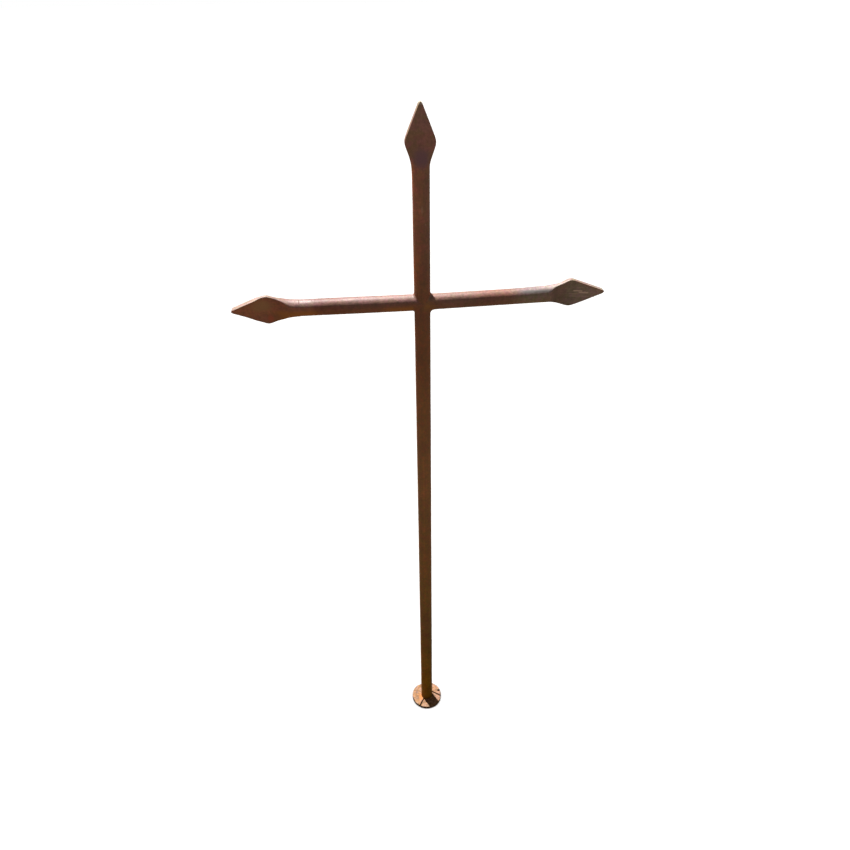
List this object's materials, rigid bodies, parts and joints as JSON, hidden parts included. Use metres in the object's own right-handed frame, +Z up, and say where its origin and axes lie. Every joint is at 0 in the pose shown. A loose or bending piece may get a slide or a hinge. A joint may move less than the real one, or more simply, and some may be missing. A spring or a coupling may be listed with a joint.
{
  "type": "wrought iron grave cross",
  "caption": "Slender round-bar wrought iron cross with flattened spear points on the upright and both arms, welded at the crossing, on a small round foot plate.",
  "frame": {"origin": "centre of the round foot plate's underside, where the cross is fixed", "axes": "+Z up along the upright, X along the arms (+X is the right arm seen from the front), -Y towards the front"},
  "size_m": [0.4782, 0.0554, 1.0705],
  "materials": {
    "upright_iron": "dark brown satin patina",
    "arm_iron": "dark brown satin patina",
    "foot_plate_iron": "tan-orange rust bloom on top, dark brown rim"
  },
  "bodies": {
    "root": {"upright": "upright_iron", "left_arm": "arm_iron", "right_arm": "arm_iron", "foot_plate": "foot_plate_iron"}
  },
  "joints": []
}
